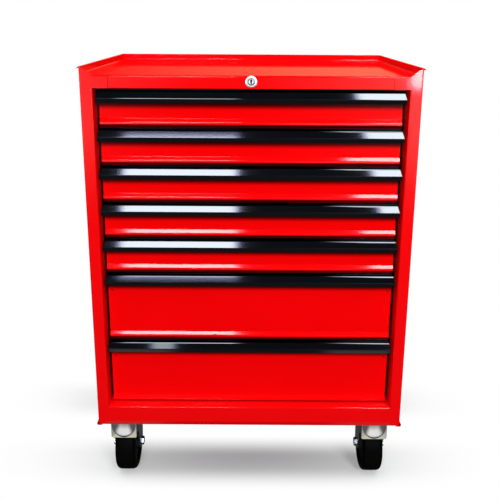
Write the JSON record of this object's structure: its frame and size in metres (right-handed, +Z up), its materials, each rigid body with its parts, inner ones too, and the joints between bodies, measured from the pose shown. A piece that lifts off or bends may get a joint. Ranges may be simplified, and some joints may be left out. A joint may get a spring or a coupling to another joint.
{
  "type": "rolling tool chest",
  "caption": "Rolling tool chest: folded-sheet cabinet with inset drawers on slides, full-width handles, a lipped top tray, a front lock and casters.",
  "frame": {"origin": "on the floor under the middle of the chest's box", "axes": "+Z up, +Y towards the back, the drawers face -Y, +X to the right seen from the front"},
  "size_m": [0.6686, 0.4624, 0.9375],
  "materials": {
    "red_paint": "gloss red paint",
    "black_paint": "gloss black paint",
    "chrome": "polished chrome",
    "zinc_steel": "bright zinc plating",
    "slide_steel": "satin zinc plating",
    "black_rubber": "matt black rubber"
  },
  "bodies": {
    "cabinet": {"back_panel": "red_paint", "bottom_pan": "red_paint", "bottom_rail": "red_paint", "caster_bolts": "zinc_steel", "caster_plates": "zinc_steel", "drawer_slide_outers": "slide_steel", "front_uprights": "slide_steel", "left_side_panel": "red_paint", "lock_bar_guides": "zinc_steel", "lock_housing": "chrome", "lock_nut": "zinc_steel", "rear_axles": "zinc_steel", "rear_left_fork": "zinc_steel", "rear_right_fork": "zinc_steel", "rear_uprights": "slide_steel", "right_side_panel": "red_paint", "top_rail": "red_paint", "top_tray": "red_paint"},
    "drawer_1": {"drawer_1_box": "red_paint", "drawer_1_handle": "black_paint", "drawer_1_slide_inner": "slide_steel"},
    "slide_1": {"drawer_1_slide_middle": "slide_steel"},
    "drawer_2": {"drawer_2_box": "red_paint", "drawer_2_handle": "black_paint", "drawer_2_slide_inner": "slide_steel"},
    "slide_2": {"drawer_2_slide_middle": "slide_steel"},
    "drawer_3": {"drawer_3_box": "red_paint", "drawer_3_handle": "black_paint", "drawer_3_slide_inner": "slide_steel"},
    "slide_3": {"drawer_3_slide_middle": "slide_steel"},
    "drawer_4": {"drawer_4_box": "red_paint", "drawer_4_handle": "black_paint", "drawer_4_slide_inner": "slide_steel"},
    "slide_4": {"drawer_4_slide_middle": "slide_steel"},
    "drawer_5": {"drawer_5_box": "red_paint", "drawer_5_handle": "black_paint", "drawer_5_slide_inner": "slide_steel"},
    "slide_5": {"drawer_5_slide_middle": "slide_steel"},
    "drawer_6": {"drawer_6_box": "red_paint", "drawer_6_handle": "black_paint", "drawer_6_slide_inner": "slide_steel"},
    "slide_6": {"drawer_6_slide_middle": "slide_steel"},
    "drawer_7": {"drawer_7_box": "red_paint", "drawer_7_handle": "black_paint", "drawer_7_slide_inner": "slide_steel"},
    "slide_7": {"drawer_7_slide_middle": "slide_steel"},
    "front_left_caster": {"front_left_fork": "zinc_steel", "front_left_axle": "zinc_steel"},
    "front_left_roller": {"front_left_wheel": "black_rubber"},
    "rear_left_roller": {"rear_left_wheel": "black_rubber"},
    "front_right_caster": {"front_right_fork": "zinc_steel", "front_right_axle": "zinc_steel"},
    "front_right_roller": {"front_right_wheel": "black_rubber"},
    "rear_right_roller": {"rear_right_wheel": "black_rubber"},
    "lock_core": {"lock_plug": "chrome", "lock_shaft": "zinc_steel", "lock_crank": "zinc_steel"},
    "lock_bar": {"lock_bar": "zinc_steel"}
  },
  "joints": [
    {"name": "drawer_1_slide", "type": "slide", "parent": "cabinet", "child": "drawer_1", "axis": [0, -1, 0], "range_m": [0, 0.38]},
    {"name": "slide_1_middle", "type": "slide", "parent": "cabinet", "child": "slide_1", "axis": [0, -1, 0], "range_m": [0, 0.19]},
    {"name": "drawer_2_slide", "type": "slide", "parent": "cabinet", "child": "drawer_2", "axis": [0, -1, 0], "range_m": [0, 0.38]},
    {"name": "slide_2_middle", "type": "slide", "parent": "cabinet", "child": "slide_2", "axis": [0, -1, 0], "range_m": [0, 0.19]},
    {"name": "drawer_3_slide", "type": "slide", "parent": "cabinet", "child": "drawer_3", "axis": [0, -1, 0], "range_m": [0, 0.38]},
    {"name": "slide_3_middle", "type": "slide", "parent": "cabinet", "child": "slide_3", "axis": [0, -1, 0], "range_m": [0, 0.19]},
    {"name": "drawer_4_slide", "type": "slide", "parent": "cabinet", "child": "drawer_4", "axis": [0, -1, 0], "range_m": [0, 0.38]},
    {"name": "slide_4_middle", "type": "slide", "parent": "cabinet", "child": "slide_4", "axis": [0, -1, 0], "range_m": [0, 0.19]},
    {"name": "drawer_5_slide", "type": "slide", "parent": "cabinet", "child": "drawer_5", "axis": [0, -1, 0], "range_m": [0, 0.38]},
    {"name": "slide_5_middle", "type": "slide", "parent": "cabinet", "child": "slide_5", "axis": [0, -1, 0], "range_m": [0, 0.19]},
    {"name": "drawer_6_slide", "type": "slide", "parent": "cabinet", "child": "drawer_6", "axis": [0, -1, 0], "range_m": [0, 0.38]},
    {"name": "slide_6_middle", "type": "slide", "parent": "cabinet", "child": "slide_6", "axis": [0, -1, 0], "range_m": [0, 0.19]},
    {"name": "drawer_7_slide", "type": "slide", "parent": "cabinet", "child": "drawer_7", "axis": [0, -1, 0], "range_m": [0, 0.38]},
    {"name": "slide_7_middle", "type": "slide", "parent": "cabinet", "child": "slide_7", "axis": [0, -1, 0], "range_m": [0, 0.19]},
    {"name": "front_left_swivel", "type": "hinge", "parent": "cabinet", "child": "front_left_caster", "pos_m": [-0.2815, -0.17425, 0.1577], "axis": [0, 0, 1], "continuous": true},
    {"name": "front_left_roll", "type": "hinge", "parent": "front_left_caster", "child": "front_left_roller", "pos_m": [-0.2815, -0.14225, 0.0625], "axis": [1, 0, 0], "continuous": true},
    {"name": "rear_left_roll", "type": "hinge", "parent": "cabinet", "child": "rear_left_roller", "pos_m": [-0.2815, 0.16575, 0.0625], "axis": [1, 0, 0], "continuous": true},
    {"name": "front_right_swivel", "type": "hinge", "parent": "cabinet", "child": "front_right_caster", "pos_m": [0.2815, -0.17425, 0.1577], "axis": [0, 0, 1], "continuous": true},
    {"name": "front_right_roll", "type": "hinge", "parent": "front_right_caster", "child": "front_right_roller", "pos_m": [0.2815, -0.14225, 0.0625], "axis": [1, 0, 0], "continuous": true},
    {"name": "rear_right_roll", "type": "hinge", "parent": "cabinet", "child": "rear_right_roller", "pos_m": [0.2815, 0.16575, 0.0625], "axis": [1, 0, 0], "continuous": true},
    {"name": "lock_turn", "type": "hinge", "parent": "cabinet", "child": "lock_core", "pos_m": [0, -0.22925, 0.9095], "axis": [0, -1, 0], "range_deg": [0, 90]},
    {"name": "lock_bar_lift", "type": "slide", "parent": "cabinet", "child": "lock_bar", "axis": [0, 0, 1], "range_m": [0, 0.0099]}
  ],
  "couplings": [
    {"joint": "slide_1_middle", "follows": "drawer_1_slide", "ratio": 0.5},
    {"joint": "slide_2_middle", "follows": "drawer_2_slide", "ratio": 0.5},
    {"joint": "slide_3_middle", "follows": "drawer_3_slide", "ratio": 0.5},
    {"joint": "slide_4_middle", "follows": "drawer_4_slide", "ratio": 0.5},
    {"joint": "slide_5_middle", "follows": "drawer_5_slide", "ratio": 0.5},
    {"joint": "slide_6_middle", "follows": "drawer_6_slide", "ratio": 0.5},
    {"joint": "slide_7_middle", "follows": "drawer_7_slide", "ratio": 0.5},
    {"joint": "lock_turn", "follows": "lock_bar_lift", "rad_per_m": 158.68}
  ]
}
